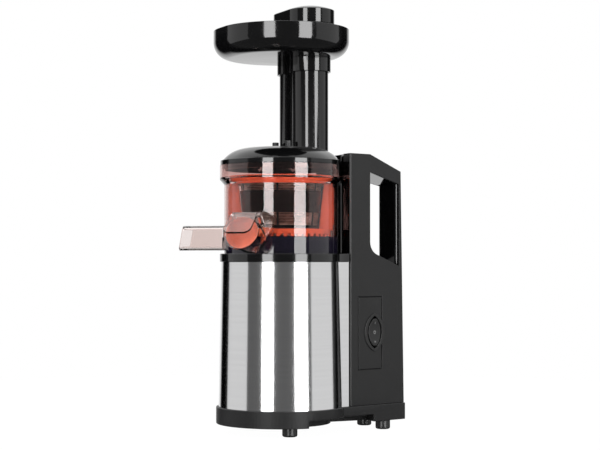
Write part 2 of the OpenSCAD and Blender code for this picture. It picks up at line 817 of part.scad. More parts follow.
module motor_lid() {
    color([0.55, 0.55, 0.57]) difference() {
        union() {
            translate([0, 0, motor_top]) cylinder(h = 3, r = motor_r);
            translate([0, 0, motor_top - 4]) cylinder(h = 4, r = motor_r - motor_wall - set_fit);
        }
        translate([0, 0, motor_top - 4 - over]) cylinder(h = bearing_w + over, r = bearing_r + set_fit);
        translate([0, 0, motor_top - 5]) cylinder(h = 12, r = shaft_r + slide_gap);
        difference() {
            translate([0, 0, motor_top - 5]) cylinder(h = 5, r = motor_r - 2 * motor_wall - 1);
            cylinder(h = span, r = bearing_r + 3);
        }
    }
}

module lower_bearing() {
    color([0.7, 0.7, 0.72]) tube(bearing_r, shaft_r + running_fit, motor_z + 1, bearing_w);
}
module upper_bearing() {
    color([0.7, 0.7, 0.72]) tube(bearing_r, shaft_r + running_fit, motor_top - 4, bearing_w - 0.2);
}

stack_z = motor_z + bearing_w + 20;      // foot of the rotor and stator stacks
stack_h = motor_top - 14 - stack_z;
module stator() {
    color([0.55, 0.3, 0.15]) difference() {
        tube(motor_r - motor_wall - set_fit, rotor_r + air_gap, stack_z, stack_h);
        for (a = [0 : 60 : 300]) rotate(a) translate([rotor_r + air_gap + 3.5, -4, stack_z - over])
            cube([5, 8, stack_h + 2 * over]);
    }
}

module rotor_core() {
    color([0.4, 0.4, 0.42]) difference() {
        translate([0, 0, stack_z]) cylinder(h = stack_h, r = rotor_r);
        translate([0, 0, stack_z - over]) cylinder(h = stack_h + 2 * over, r = shaft_r + set_fit);
        for (a = [0 : 30 : 330]) rotate(a) translate([rotor_r, 0, stack_z - over])
            cylinder(h = stack_h + 2 * over, r = 1.2, $fn = 24);
    }
}

module rotor_shaft() {
    color([0.8, 0.8, 0.82]) union() {
        translate([0, 0, motor_z + 1]) cylinder(h = pinion_z - motor_z, r = shaft_r);
        translate([0, 0, pinion_z]) linear_extrude(gear_w) rotate(90) gear(pinion_teeth, gear_module);
    }
}

module fan() {
    fan_z = motor_z + bearing_w + 5;
    color([0.2, 0.2, 0.22]) difference() {
        union() {
            translate([0, 0, fan_z]) cylinder(h = 12, r = 8);
            translate([0, 0, fan_z]) cylinder(h = 2, r = motor_r - motor_wall - 3);
            for (a = [0 : 45 : 315]) rotate(a) translate([6, -0.8, fan_z])
                cube([motor_r - motor_wall - 10, 1.6, 11]);
        }
        translate([0, 0, fan_z - over]) cylinder(h = 16, r = shaft_r + set_fit);
    }
}

// ---------- gearbox ----------

gearbox_z = motor_top + 3;
pinion_z = gearbox_z + gearbox_wall + 1;
pinion2_z = pinion_z + gear_w + stage_gap;
gearbox_top = pinion2_z + gear_w + 1.5 + gearbox_wall;
lay_y = (pinion_teeth + gear_teeth) * gear_module / 2;
module gearbox_case() {
    color([0.6, 0.6, 0.58]) difference() {
        translate([0, 0, gearbox_z]) cylinder(h = gearbox_top - gearbox_wall - gearbox_z, r = gearbox_r);
        translate([0, 0, gearbox_z + gearbox_wall]) cylinder(h = span, r = gearbox_r - gearbox_wall);
        translate([0, 0, gearbox_z - over]) cylinder(h = span, r = gear_module * pinion_teeth / 2 + 2);
        translate([0, lay_y, gearbox_z + 1]) cylinder(h = span, r = shaft_r + running_fit);
    }
}

module gearbox_cover() {
    color([0.62, 0.62, 0.6]) difference() {
        union() {
            translate([0, 0, gearbox_top - gearbox_wall]) cylinder(h = gearbox_wall, r = gearbox_r);
            translate([0, 0, gearbox_top - over])
                cylinder(h = output_bearing_w + over, r = output_bearing_r + 3);
        }
        translate([0, 0, gearbox_top - gearbox_wall - over]) cylinder(h = span, r = output_r + slide_gap);
        translate([0, 0, gearbox_top]) cylinder(h = span, r = output_bearing_r + set_fit);
        translate([0, lay_y, gearbox_top - gearbox_wall - over])
            cylinder(h = gearbox_wall, r = shaft_r + running_fit);
    }
}

module layshaft() {
    color([0.8, 0.8, 0.82]) translate([0, lay_y, gearbox_z + 1.2])
        cylinder(h = gearbox_top - gearbox_z - 2.6, r = shaft_r);
}

module lay_gear() {
    color([0.85, 0.83, 0.75]) translate([0, lay_y, 0]) difference() {
        union() {
            translate([0, 0, pinion_z]) linear_extrude(gear_w) rotate(270 + 180 / gear_teeth)
                gear(gear_teeth, gear_module);
            translate([0, 0, pinion_z + gear_w])
                cylinder(h = stage_gap, r = gear_module * pinion_teeth / 2 - 1.3);
            translate([0, 0, pinion2_z]) linear_extrude(gear_w) rotate(270) gear(pinion_teeth, gear_module);
        }
        translate([0, 0, pinion_z - over]) cylinder(h = span, r = lay_bore_r);
    }
}
lay_bore_r = shaft_r;

module output_gear() {
    color([0.85, 0.83, 0.75]) difference() {
        translate([0, 0, pinion2_z]) linear_extrude(gear_w) rotate(90 + 180 / gear_teeth)
            gear(gear_teeth, gear_module);
        translate([0, 0, pinion2_z - over]) cylinder(h = span, r = output_r + set_fit);
    }
}

module output_bearing() {
    color([0.7, 0.7, 0.72]) tube(output_bearing_r, output_r + running_fit, gearbox_top, output_bearing_w);
}

hex_z = deck_top + hub_h + 1;
module output_shaft() {
    color([0.82, 0.82, 0.84]) union() {
        translate([0, 0, pinion2_z]) cylinder(h = hex_z - pinion2_z, r = output_r);
        translate([0, 0, hex_z]) cylinder(h = hex_h, r = hex_w / sqrt(3), $fn = 6);
    }
}

// ---------- bowl ----------

idler_angle = 135;                                  // the idler stands opposite the pulp hole
sun_r = sun_teeth * brush_module / 2;
idler_off = sun_teeth * brush_module;
ring_teeth = 3 * sun_teeth;
ring_r = ring_teeth * brush_module / 2;
gear_level = floor_top + 2.5;
brush_gear_w = 6;
strainer_z = gear_level + brush_gear_w + 1;         // underside of the strainer
bowl_in = bowl_r - bowl_wall;
collar_in = lid_r - 1.5 - slide_gap;                // the collar's inside takes the lid's skirt
pulp_z = deck_top + 3.5;                            // underside of the spout

// runs a shape drawn in [across, up] out along a direction round from the front
module outward(angle, from, to) {
    rotate([0, 0, angle - 90]) translate([from, 0, 0]) rotate([90, 0, 90]) linear_extrude(to - from)
        children();
}

module rounded(w, h, r) {
    translate([-w / 2, 0]) {
        translate([r, 0]) square([w - 2 * r, h]);
        translate([0, r]) square([w, h - 2 * r]);
        for (x = [r, w - r], y = [r, h - r]) translate([x, y]) circle(r, $fn = 48);
    }
}

juice_dir = [cos(juice_slope), -sin(juice_slope)];   // along the outlet, as [outwards, up]
mouth = [juice_reach, deck_top + juice_mouth_rise];
juice_len = (juice_reach - bowl_in + 4) / cos(juice_slope);
hinge_at = mouth + [sin(juice_slope), cos(juice_slope)] * (juice_mouth_r + hinge_r + 0.5) - juice_dir * 1.5;

// a cone along the juice outlet, its wide end at the mouth
module juice_cone(inset, past) {
    rotate([0, 0, juice_angle - 90]) translate([mouth.x, 0, mouth.y]) rotate([0, 90 + juice_slope, 0])
        translate([0, 0, -juice_len])
            cylinder(h = juice_len + past, r1 = juice_root_r - inset, r2 = juice_mouth_r - inset);
}

module bowl_profile() {
    chamfer = 4;
    difference() {
        union() {
            translate([0, deck_top]) square([bowl_r, bowl_h + over]);
            polygon([[0, collar_z - chamfer / 3], [bowl_r, collar_z - chamfer / 3],
                    [collar_r, collar_z + chamfer],
                     [collar_r, lid_z], [0, lid_z]]);
        }
        translate([0, floor_top]) square([bowl_in, span]);
        translate([0, deck_top - over]) square([bowl_in, floor_rise - floor_t + over]);
        polygon([[0, collar_z + 2], [bowl_in, collar_z + 2], [collar_in, collar_z + 6], [collar_in, span * 2],
                 [0, span * 2]]);
    }
}

module bowl() {
    spout_wall = 2.5;
    color([0.36, 0.25, 0.22, 0.55]) difference() {
        union() {
            rotate_extrude($fn = 180) bowl_profile();
            // hub round the auger shaft
            translate([0, 0, floor_top - 8]) cylinder(h = 8.8 + 1, r = auger_shaft_r + 4);
            // duct below the floor, and the spout outside
            outward(pulp_angle, pulp_hole_off - pulp_hole_r - duct_wall, bowl_r - 1)
                translate([0, floor_top - floor_t - duct_h - duct_wall])
                    rounded(2 * pulp_hole_r + 2 * duct_wall + 4, duct_h + duct_wall + 1, 2);
            outward(pulp_angle, bowl_in + 0.5, pulp_reach) translate([0, pulp_z]) rounded(pulp_w, pulp_h, 4);
            // juice outlet, its hinge ears, and the collar over the pulp hole
            difference() {
                juice_cone(0, 0);
                cylinder(h = span, r = bowl_in + 0.5);
            }
            for (s = [-1, 1]) rotate([0, 0, juice_angle - 90])
                translate([0, s * (hinge_w / 2 + 1.7), 0]) hinge_ear();
            rotate([0, 0, pulp_angle - 90]) translate([pulp_hole_off, 0, floor_top - 1])
                cylinder(h = strainer_z - floor_top + 1, r = pulp_hole_r + duct_wall);
            // two posts that the strainer stands on, and the idler's pin
            for (a = post_angles) rotate([0, 0, a - 90]) translate([post_off, 0, floor_top - 1])
                cylinder(h = strainer_z - floor_top + 1, r = post_size);
            rotate([0, 0, idler_angle - 90]) translate([idler_off, 0, floor_top - 1]) {
                cylinder(h = 3, r = idler_pin_r + 3);
                cylinder(h = gear_level + brush_gear_w - floor_top + 1, r = idler_pin_r);
            }
        }
        // bore for the auger shaft, and a recess for the seal below it
        cylinder(h = floor_top + span, r = auger_shaft_r + running_fit);
        translate([0, 0, floor_top - 9]) cylinder(h = bowl_seal_h + 1, r = auger_shaft_r + 2.2);
        // pulp hole, duct and spout
        rotate([0, 0, pulp_angle - 90]) translate([pulp_hole_off, 0, floor_top - floor_t - duct_h])
            cylinder(h = span, r = pulp_hole_r);
        outward(pulp_angle, pulp_hole_off, bowl_r + 2) translate([0, floor_top - floor_t - duct_h])
            rounded(2 * pulp_hole_r + 2, duct_h, 2);
        outward(pulp_angle, bowl_r + 1, pulp_reach + over) translate([0, pulp_z + spout_wall])
            rounded(pulp_w - 2 * spout_wall, pulp_h - 2 * spout_wall, 2.5);
        // slanted end of the spout
        rotate([0, 0, pulp_angle - 90]) translate([pulp_reach, -span / 2, pulp_z])
            rotate([0, -spout_slant, 0]) translate([0, 0, -span / 8]) cube([span, span, span / 4]);
        // inside of the juice outlet, clean out hole for the plug
        juice_cone(juice_wall, over);
        rotate([0, 0, pulp_angle - 90]) translate([plug_off, 0, deck_top])
            cylinder(h = floor_rise - floor_t - 3, r = plug_r + set_fit);
        // the hinge pin's hole
        rotate([0, 0, juice_angle - 90]) translate([hinge_at.x, -span / 4, hinge_at.y]) rotate([-90, 0, 0])
            cylinder(h = span / 2, r = hinge_pin_r + set_fit, $fn = 48);
    }
}
post_angles = [45, -135];       // where the strainer's posts stand, round from the front

module hinge_ear() {
    rotate([90, 0, 0]) linear_extrude(2.4, center = true) union() {
        translate(hinge_at) circle(hinge_r);
        polygon([hinge_at + [0, hinge_r], hinge_at + [hinge_r, 0],
                 mouth - juice_dir * 0.5 + [sin(juice_slope), cos(juice_slope)] * (juice_mouth_r - 7),
                 mouth - juice_dir * 9 + [sin(juice_slope), cos(juice_slope)] * (juice_mouth_r - 8)]);
    }
}

module bowl_seal() {
    color([0.85, 0.3, 0.12])
        tube(auger_shaft_r + 2.2 - set_fit, auger_shaft_r + running_fit, floor_top - 9, bowl_seal_h);
}

module pulp_plug() {
    color([0.25, 0.1, 0.08]) rotate([0, 0, pulp_angle - 90]) translate([plug_off, 0, 0]) union() {
        translate([0, 0, floor_top - floor_t - duct_h - duct_wall]) cylinder(h = duct_wall, r = plug_r);
        translate([0, 0, deck_top + 0.6])
            cylinder(h = floor_rise - floor_t - duct_h - duct_wall - 0.6, r = plug_r + 1);
    }
}

module brush_idler() {
    color([0.9, 0.88, 0.8]) rotate([0, 0, idler_angle - 90]) translate([idler_off, 0, gear_level])
        difference() {
        linear_extrude(brush_gear_w) rotate(180 + 180 / sun_teeth) gear(sun_teeth, brush_module);
        translate([0, 0, -over]) cylinder(h = span, r = idler_pin_r + running_fit);
    }
}

// ---------- pressing set ----------

wall_z = strainer_z + 3;
strainer_top = wall_z + strainer_h;
// outer radius of the strainer at height z
function strainer_r(z) = strainer_r_low + (strainer_r_high - strainer_r_low) * (z - wall_z) / strainer_h;

module strainer_band(z0, z1, out, in) {
    difference() {
        translate([0, 0, z0]) cylinder(h = z1 - z0, r1 = strainer_r(z0) + out, r2 = strainer_r(z1) + out);
        translate([0, 0, z0 - over]) cylinder(h = z1 - z0 + 2 * over,
            r1 = strainer_r(z0 - over) + in, r2 = strainer_r(z1 + over) + in);
    }
}

module strainer_frame() {
    floor_hole = auger_shaft_r + 3.5;
    color([0.05, 0.05, 0.06]) difference() {
        union() {
            translate([0, 0, strainer_z]) cylinder(h = 3, r1 = strainer_r_low, r2 = strainer_r_low + 2.4);
            strainer_band(wall_z + 13, wall_z + 36, 1.6, set_fit);
            strainer_band(strainer_top, strainer_top + 4, 2.2, -2);
            for (a = [0 : 60 : 300]) rotate(a + 30) intersection() {
                translate([0, -1, wall_z - over]) cube([span, 2, strainer_h + 2 * over]);
                strainer_band(wall_z - over, strainer_top + over, 1.2, set_fit + 0.3);
            }
        }
        translate([0, 0, strainer_z - over]) cylinder(h = 5, r = floor_hole);
        rotate([0, 0, pulp_angle - 90]) translate([pulp_hole_off, 0, strainer_z - over])
            cylinder(h = 5, r = pulp_hole_r);
    }
}

module strainer_wall() {
    color([0.7, 0.7, 0.72]) strainer_band(wall_z, strainer_top, 0, -strainer_sheet);
}

brush_in = strainer_r_high + 1.6 + slide_gap;       // clear of the strainer
brush_out = bowl_in - 1.4;                          // clear of the bowl
arm_angles = [65, 245];                             // the two arms, counted from +X towards +Y
arm_clear = 2.4 + slide_gap;                        // the arms' distance from the strainer's wall
arm_top = strainer_top - 2;
ring_z = floor_top + slide_gap;
brush_ring_h = gear_level + brush_gear_w - ring_z;
module brush_frame() {
    color([0.82, 0.25, 0.1]) difference() {
        union() {
            tube(ring_r + 7, ring_r + 2, ring_z, brush_ring_h);
            translate([0, 0, gear_level]) linear_extrude(brush_gear_w) difference() {
                circle(ring_r + 3);
                rotate(idler_angle - 90 + 180 / ring_teeth) gear_hollow(ring_teeth, brush_module);
            }
            for (a = arm_angles) rotate(a) intersection() {
                rotate_extrude() difference() {
                    translate([0, ring_z + brush_ring_h - 1])
                        square([brush_out - 1.6, arm_top - ring_z - brush_ring_h]);
                    translate([0, -over]) square([brush_in + 2.6, ring_z + brush_ring_h + slide_gap + over]);
                    cone_side(arm_clear);
                }
                translate([0, -brush_arm_w / 2, 0]) cube([span, brush_arm_w, span]);
            }
            tube(brush_out - 1.2, brush_in + 1.6, arm_top - 3, brush_rim_h);
        }
        // the slots that hold the wipers, and the notches along the ring's foot
        for (a = arm_angles) rotate(a) wiper_solid(set_fit);
        for (k = [1 : ring_notches]) rotate(k * 360 / ring_notches)
            translate([ring_r + 1, -notch_gap / 2, ring_z - over])
                cube([ring_r, notch_gap, notch_rise + over]);
    }
}

// the space inside a cone that stands off the strainer's wall
module cone_side(off) {
    polygon([[0, 0], [strainer_r(0) + off, 0], [strainer_r(span) + off, span], [0, span]]);
}

module wiper_solid(grow) {
    wiper_z = wall_z + 1 - grow;
    wiper_l = arm_top - 6 - wiper_z + grow;
    intersection() {
        rotate_extrude() difference() {
            translate([0, wiper_z]) square([brush_out + grow, wiper_l]);
            cone_side(1.6 + slide_gap - grow);
        }
        translate([0, -wiper_t / 2 - grow, 0]) cube([span, wiper_t + 2 * grow, span]);
    }
}

module wipers() {
    color([0.88, 0.32, 0.12]) for (a = arm_angles) rotate(a) wiper_solid(0);
}

auger_z = wall_z + slide_gap;
auger_flight_h = strainer_h - 4;
module auger_core() {
    color([0.1, 0.1, 0.11]) difference() {
        union() {
            translate([0, 0, auger_z]) cylinder(h = auger_flight_h, r = auger_core_r);
            translate([0, 0, auger_z + auger_flight_h]) cylinder(h = 14, r1 = auger_core_r, r2 = 9);
            translate([0, 0, auger_z + auger_flight_h + 14]) cylinder(h = 4, r = 6);
        }
        translate([0, 0, auger_z - over]) cylinder(h = 30 + over, r = auger_shaft_r + set_fit);
    }
}

module auger_flights() {
    root_r = auger_core_r - 0.6;
    color([0.12, 0.12, 0.13]) translate([0, 0, auger_z]) difference() {
        linear_extrude(auger_flight_h, twist = 330, slices = 44, $fn = 40) for (s = [0, 180]) rotate(s)
            polygon([[root_r - 4, -4], [auger_r * cos(3), -auger_r * sin(3)], [auger_r, 0],
                     [auger_r * cos(3), auger_r * sin(3)], [root_r - 4, 4]]);
        translate([0, 0, -over]) cylinder(h = span, r = root_r, $fn = 40);
    }
}

socket_depth = hex_z + hex_h + 0.5;
auger_shaft_z = hex_z + 0.3;
module auger_shaft() {
    color([0.78, 0.78, 0.8]) difference() {
        translate([0, 0, auger_shaft_z]) cylinder(h = auger_z + 29 - auger_shaft_z, r = auger_shaft_r);
        translate([0, 0, auger_shaft_z - over]) cylinder(h = socket_depth - auger_shaft_z + over,
            r = hex_w / sqrt(3) + slide_gap, $fn = 6);
    }
}

module auger_gear() {
    color([0.9, 0.88, 0.8]) difference() {
        union() {
            translate([0, 0, gear_level]) linear_extrude(brush_gear_w) rotate(idler_angle - 90)
                gear(sun_teeth, brush_module);
            translate([0, 0, gear_level + brush_gear_w])
                cylinder(h = auger_z - gear_level - brush_gear_w, r = auger_shaft_r + 3);
        }
        translate([0, 0, gear_level - over]) cylinder(h = span, r = auger_shaft_r + set_fit);
    }
}

// ---------- drip cap ----------

// the cap is drawn closed, with the hinge axis at the origin, x outwards along the outlet and z away from it
module on_cap_hinge() {
    rotate([0, 0, juice_angle - 90]) translate([hinge_at.x, 0, hinge_at.y])
        rotate([0, juice_slope - cap_open, 0]) children();
}
cap_face = 2.2;       // distance of the cap's plate in front of the mouth plane
mouth_x = 1.5;        // the mouth plane lies this far out from the hinge axis
cap_drop = juice_mouth_r + hinge_r + 0.5;
module outlet_cap() {
    color([0.45, 0.33, 0.3, 0.6]) on_cap_hinge() difference() {
        union() {
            rotate([90, 0, 0]) cylinder(h = hinge_w, r = hinge_r, center = true);
            // round plate over the mouth
            translate([mouth_x + cap_face, 0, -cap_drop]) rotate([0, 90, 0])
                cylinder(h = 2, r = juice_mouth_r);
            translate([mouth_x + cap_face, -hinge_w / 2, -cap_drop + 8]) cube([2, hinge_w, cap_drop - 8]);
            translate([0, -hinge_w / 2, -1]) cube([mouth_x + cap_face + 1, hinge_w, 2]);
            // finger tongue
            translate([mouth_x + cap_face, -hinge_w / 2 - 2, 1]) rotate([0, 180 - tongue_angle, 0])
                translate([-2, hinge_w / 2 + 2, 2]) rotate([90, 0, 90]) linear_extrude(2)
                    rounded(hinge_w + 4, tongue_l, tongue_round);
        }
        rotate([90, 0, 0]) cylinder(h = span, r = hinge_pin_r + running_fit, center = true, $fn = 48);
    }
}

module cap_seal() {
    plug_in = juice_mouth_r - juice_wall - slide_gap - 1;
    color([0.9, 0.4, 0.15]) on_cap_hinge() translate([mouth_x, 0, -cap_drop]) rotate([0, 90, 0]) union() {
        translate([0, 0, slide_gap]) cylinder(h = cap_face - slide_gap, r = juice_mouth_r - 1.5);
        translate([0, 0, -3]) cylinder(h = 3 + slide_gap, r1 = plug_in - 2, r2 = plug_in);
    }
}

module cap_pin() {
    color([0.7, 0.7, 0.72]) rotate([0, 0, juice_angle - 90]) translate([hinge_at.x, 0, hinge_at.y])
        rotate([90, 0, 0]) cylinder(h = hinge_w + 5.4, r = hinge_pin_r, center = true, $fn = 48);
}

// ---------- lid ----------

// a dome's outline from its rim radius and height, as an arc
function dome_pts(r, h, z, n = 24) =
    let (big = (r * r + h * h) / (2 * h), edge = asin(r / big))
    [for (k = [0 : n]) let (a = edge * k / n) [big * sin(a), z + h - big + big * cos(a)]];

// the lid's top: nearly flat in the middle, falling steeply to the rim
function crown_pts(r, h, z, n = 24) =
    [for (k = [0 : n]) let (part = 1 - pow(1 - k / n, 2)) [r * part, z + h * (1 - pow(part, dome_power))]];

module lid_profile() {
    rim_round = 2;
    skirt_r = collar_in - slide_gap;
    difference() {
        union() {
            translate([0, lid_z]) square([lid_r, lid_rim_h]);
            polygon(concat(crown_pts(lid_r - rim_round, dome_h, dome_z), [[0, dome_z]]));
            translate([0, lid_z - lid_skirt]) square([skirt_r, lid_skirt + over]);
        }
        polygon(concat(crown_pts(skirt_r - lid_wall, dome_h, dome_z - lid_wall), [[0, dome_z - lid_wall]]));
        translate([0, lid_z - lid_skirt - over])
            square([skirt_r - lid_wall, lid_skirt + lid_rim_h - lid_wall + over + 0.01]);
    }
}

ledge_z = dome_top + 3;      // the pusher stops on a step here
tube_foot = dome_z + 2;
module lid() {
    color([0.05, 0.05, 0.055]) difference() {
        union() {
            rotate_extrude($fn = 180) lid_profile();
            translate([0, 0, tube_foot]) linear_extrude(tube_top - tube_foot) tube_plan();
        }
        translate([0, 0, ledge_z]) linear_extrude(span) tube_plan(lid_wall);
        translate([0, 0, lid_z - lid_skirt]) linear_extrude(span) tube_plan(lid_wall + ledge);
        for (s = [-1, 1]) translate([s * stop_x, stop_y, dome_z]) cylinder(h = span, r = stop_r + set_fit);
    }
}

module lid_stop() {
    color([0.02, 0.02, 0.02]) for (s = [-1, 1]) translate([s * stop_x, stop_y, dome_top - 7])
        cylinder(h = 13.5, r = stop_r);
}

// ---------- hopper tray ----------

// sweeps a profile drawn in [out, up] round an oval with straight flanks of the given half length
module sweep_oval(half) {
    for (s = [0, 180]) rotate(s) translate([half, 0, 0]) rotate([0, 0, -90])
        rotate_extrude(angle = 180, $fn = 180) children();
    for (s = [0, 180]) rotate(s) translate([-half, 0, 0]) rotate([90, 0, 90])
        linear_extrude(2 * half) children();
}

tray_half = (tray_l - tray_w) / 2;
tray_end_r = tray_w / 2;
module tray_shape(inset) {
    bottom = tray_floor + inset;
    r = tray_edge_r - inset;
    union() {
        translate([0, bottom]) square([tray_end_r - tray_edge_r, tray_top - bottom + (inset > 0 ? over : 0)]);
        intersection() {
            translate([tray_end_r - tray_edge_r, bottom + r]) circle(r);
            translate([tray_end_r - tray_edge_r, bottom]) square(r);
        }
        translate([0, bottom + r])
            square([tray_end_r - inset, tray_top - bottom - r + (inset > 0 ? over : 0)]);
    }
}

socket_z = tray_floor - socket_h;
module hopper_tray() {
    color([0.06, 0.06, 0.065]) difference() {
        union() {
            sweep_oval(tray_half) tray_shape(0);
            translate([0, 0, socket_z]) linear_extrude(socket_h + over) tube_plan(-slide_gap - socket_wall);
        }
        sweep_oval(tray_half) tray_shape(tray_wall);
        translate([0, 0, socket_z - over]) linear_extrude(tube_top + 0.01 - socket_z + over)
            tube_plan(-slide_gap);
        translate([0, 0, socket_z - over]) linear_extrude(span) tube_plan(lid_wall);
    }
}

// ---------- pusher ----------

pusher_z = ledge_z;
pusher_inset = lid_wall + slide_gap;
module pusher_body() {
    color([0.06, 0.06, 0.065]) difference() {
        translate([0, 0, pusher_z]) linear_extrude(cap_z - pusher_z) tube_plan(pusher_inset);
        translate([0, 0, pusher_z + pusher_wall]) linear_extrude(span) tube_plan(pusher_inset + pusher_wall);
    }
}

module pusher_cap() {
    cap_r = tube_r + cap_lip;
    edge = 5;
    color([0.05, 0.05, 0.055]) translate([0, tube_y, 0]) union() {
        translate([0, 0, cap_z]) linear_extrude(cap_h - edge) union() {
            for (s = [-1, 1]) translate([s * tube_half, 0]) circle(cap_r);
            square([2 * tube_half, 2 * cap_r], center = true);
        }
        sweep_oval(tube_half) difference() {
            polygon(concat(dome_pts(cap_r, edge, cap_z + cap_h - edge), [[0, cap_z + cap_h - edge]]));
            translate([-span, 0]) square([span, span * 2]);
        }
        translate([0, -tube_y, cap_z - 6]) linear_extrude(6 + over)
            tube_plan(pusher_inset + pusher_wall + set_fit);
    }
}

base();
foot_front_left();
foot_front_right();
foot_rear_left();
foot_rear_right();
base_screws();
steel_shell();
deck();
tower_frame();
side_panel_left();
side_panel_right();
switch_bezel();
rocker();
circuit_board();
interlock_switch();
cord_gland();
motor_cushion();
motor_can();
motor_lid();
stator();
rotor_core();
rotor_shaft();
fan();
lower_bearing();
upper_bearing();
gearbox_case();
gearbox_cover();
layshaft();
lay_gear();
output_gear();
output_shaft();
output_bearing();
shaft_seal();
bowl();
bowl_seal();
pulp_plug();
brush_idler();
strainer_frame();
strainer_wall();
brush_frame();
wipers();
auger_core();
auger_flights();
auger_shaft();
auger_gear();
outlet_cap();
cap_seal();
cap_pin();
lid();
lid_stop();
hopper_tray();
pusher_body();
pusher_cap();
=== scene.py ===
import json
import math

import bmesh
import bpy
from mathutils import Matrix, Vector


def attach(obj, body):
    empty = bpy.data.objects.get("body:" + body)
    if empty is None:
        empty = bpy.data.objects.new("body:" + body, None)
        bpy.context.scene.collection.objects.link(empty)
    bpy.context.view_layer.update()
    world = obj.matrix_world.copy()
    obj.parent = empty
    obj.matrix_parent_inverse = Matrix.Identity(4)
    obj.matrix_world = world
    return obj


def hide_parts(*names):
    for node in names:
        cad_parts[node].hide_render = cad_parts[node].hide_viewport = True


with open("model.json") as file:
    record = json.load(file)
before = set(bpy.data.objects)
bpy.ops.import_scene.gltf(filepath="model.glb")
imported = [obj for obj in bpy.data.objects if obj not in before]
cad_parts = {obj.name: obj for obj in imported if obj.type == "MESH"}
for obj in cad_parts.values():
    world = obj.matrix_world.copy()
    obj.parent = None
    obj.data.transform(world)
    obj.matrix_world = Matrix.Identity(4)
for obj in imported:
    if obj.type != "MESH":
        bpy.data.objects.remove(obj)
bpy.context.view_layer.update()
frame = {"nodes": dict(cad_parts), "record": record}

NODES = frame["nodes"]
SLOT_OF = {part["node"]: part["material_slot"] for part in frame["record"]["subparts"]}
BODY_OF = {node: body for body, nodes in frame["record"]["behaviour"]["bodies"].items() for node in nodes}
MM = 0.001
UP = Vector((0, 0, 1))


# ---------- shader maths ----------

class Socket:
    """One output of a node. Arithmetic on it adds Math nodes to the same tree."""

    def __init__(self, shader, output):
        self.shader, self.output = shader, output

    def maths(self, operation, *values):
        return self.shader.node("Math", {"operation": operation}, dict(enumerate(values)))

    def __add__(self, other):
        return self.maths("ADD", self, other)

    def __sub__(self, other):
        return self.maths("SUBTRACT", self, other)

    def __rsub__(self, other):
        return self.maths("SUBTRACT", other, self)

    def __mul__(self, other):
        return self.maths("MULTIPLY", self, other)

    __radd__ = __add__
    __rmul__ = __mul__

    def root(self):
        return self.maths("SQRT", self)

    def above(self, low, high):
        """0 below low, 1 above high, smooth between."""
        return self.shader.node("MapRange", {"interpolation_type": "SMOOTHSTEP"},
                                {"Value": self, "From Min": low, "From Max": high})

    def across(self, first, last):
        """first where this is 0, last where it is 1, and in step between."""
        return self * (last - first) + first


class Shader:
    """The node tree of a material or of the world."""

    def __init__(self, owner):
        owner.use_nodes = True
        self.tree = owner.node_tree
        self.tree.nodes.clear()

    def node(self, kind, settings=None, sockets=None, output=0):
        made = self.tree.nodes.new("ShaderNode" + kind)
        for name, value in (settings or {}).items():
            setattr(made, name, value)
        for name, value in (sockets or {}).items():
            if isinstance(value, Socket):
                self.tree.links.new(value.output, made.inputs[name])
            elif isinstance(value, tuple) and made.inputs[name].type == "RGBA":
                made.inputs[name].default_value = (*value, 1)
            else:
                made.inputs[name].default_value = value
        return Socket(self, made.outputs[output]) if made.outputs else None

    def place(self, scale=(1, 1, 1)):
        """The point's own coordinates on its piece, scaled along each axis."""
        here = self.node("TexCoord", output="Object")
        return self.node("Mapping", {}, {"Vector": here, "Scale": scale})

    def noise(self, scale, detail, stretch=(1, 1, 1), roughness=0.5):
        return self.node("TexNoise", {}, {"Vector": self.place(stretch), "Scale": scale, "Detail": detail,
                                          "Roughness": roughness})

    def along(self, axis):
        """One of the point's own coordinates."""
        return self.node("SeparateXYZ", {}, {"Vector": self.place()}, output=axis)

    def blend(self, factor, first, second):
        """A colour between two colours."""
        return self.node("Mix", {"data_type": "RGBA"}, {0: factor, 6: first, 7: second}, output=2)

    def bump(self, height, distance, strength=1.0):
        return self.node("Bump", {}, {"Height": height, "Distance": distance, "Strength": strength})

    def principled(self, sockets):
        return self.node("BsdfPrincipled", {}, sockets)

    def surface(self, made):
        self.node("OutputMaterial", {}, {"Surface": made})


# ---------- finishes ----------

def tinted(colour, factor, lift=0.0):
    """A colour made lighter or darker, and lifted from black."""
    return tuple(part * factor + lift for part in colour)


def finish(name, build, settings):
    """A material with one Principled shader: build gives its linked sockets, settings the plain ones."""
    material = bpy.data.materials.new(name)
    shader = Shader(material)
    shader.surface(shader.principled({**settings, **build(shader)}))
    return material


def gloss_plastic(name, colour, roughness=0.07, sheen=0.5):
    """Polished moulded plastic: nearly mirror-like, with the faint ripple and haze of a moulding."""
    def build(s):
        haze, ripple = s.noise(60, 4), s.noise(35, 2)
        return {
            "Base Color": s.blend(haze, colour, tinted(colour, 1.5, 0.001)),
            "Roughness": haze.above(0.3, 0.75).across(roughness, roughness + 0.04),
            "Normal": s.bump(ripple, 0.02 * MM),
        }
    return finish(name, build, {"IOR": 1.5, "Specular IOR Level": sheen})


def satin_plastic(name, colour, roughness=0.5, grain=2600, depth=0.03 * MM, sheen=0.5):
    """Plastic from a spark-eroded mould: an even fine grain that scatters light."""
    def build(s):
        fine, broad = s.noise(grain, 2), s.noise(45, 3)
        return {
            "Base Color": s.blend(broad, tinted(colour, 0.9), tinted(colour, 1.12)),
            "Roughness": broad.across(roughness - 0.05, roughness + 0.05),
            "Normal": s.bump(fine, depth, 0.6),
        }
    return finish(name, build, {"IOR": 1.5, "Specular IOR Level": sheen})


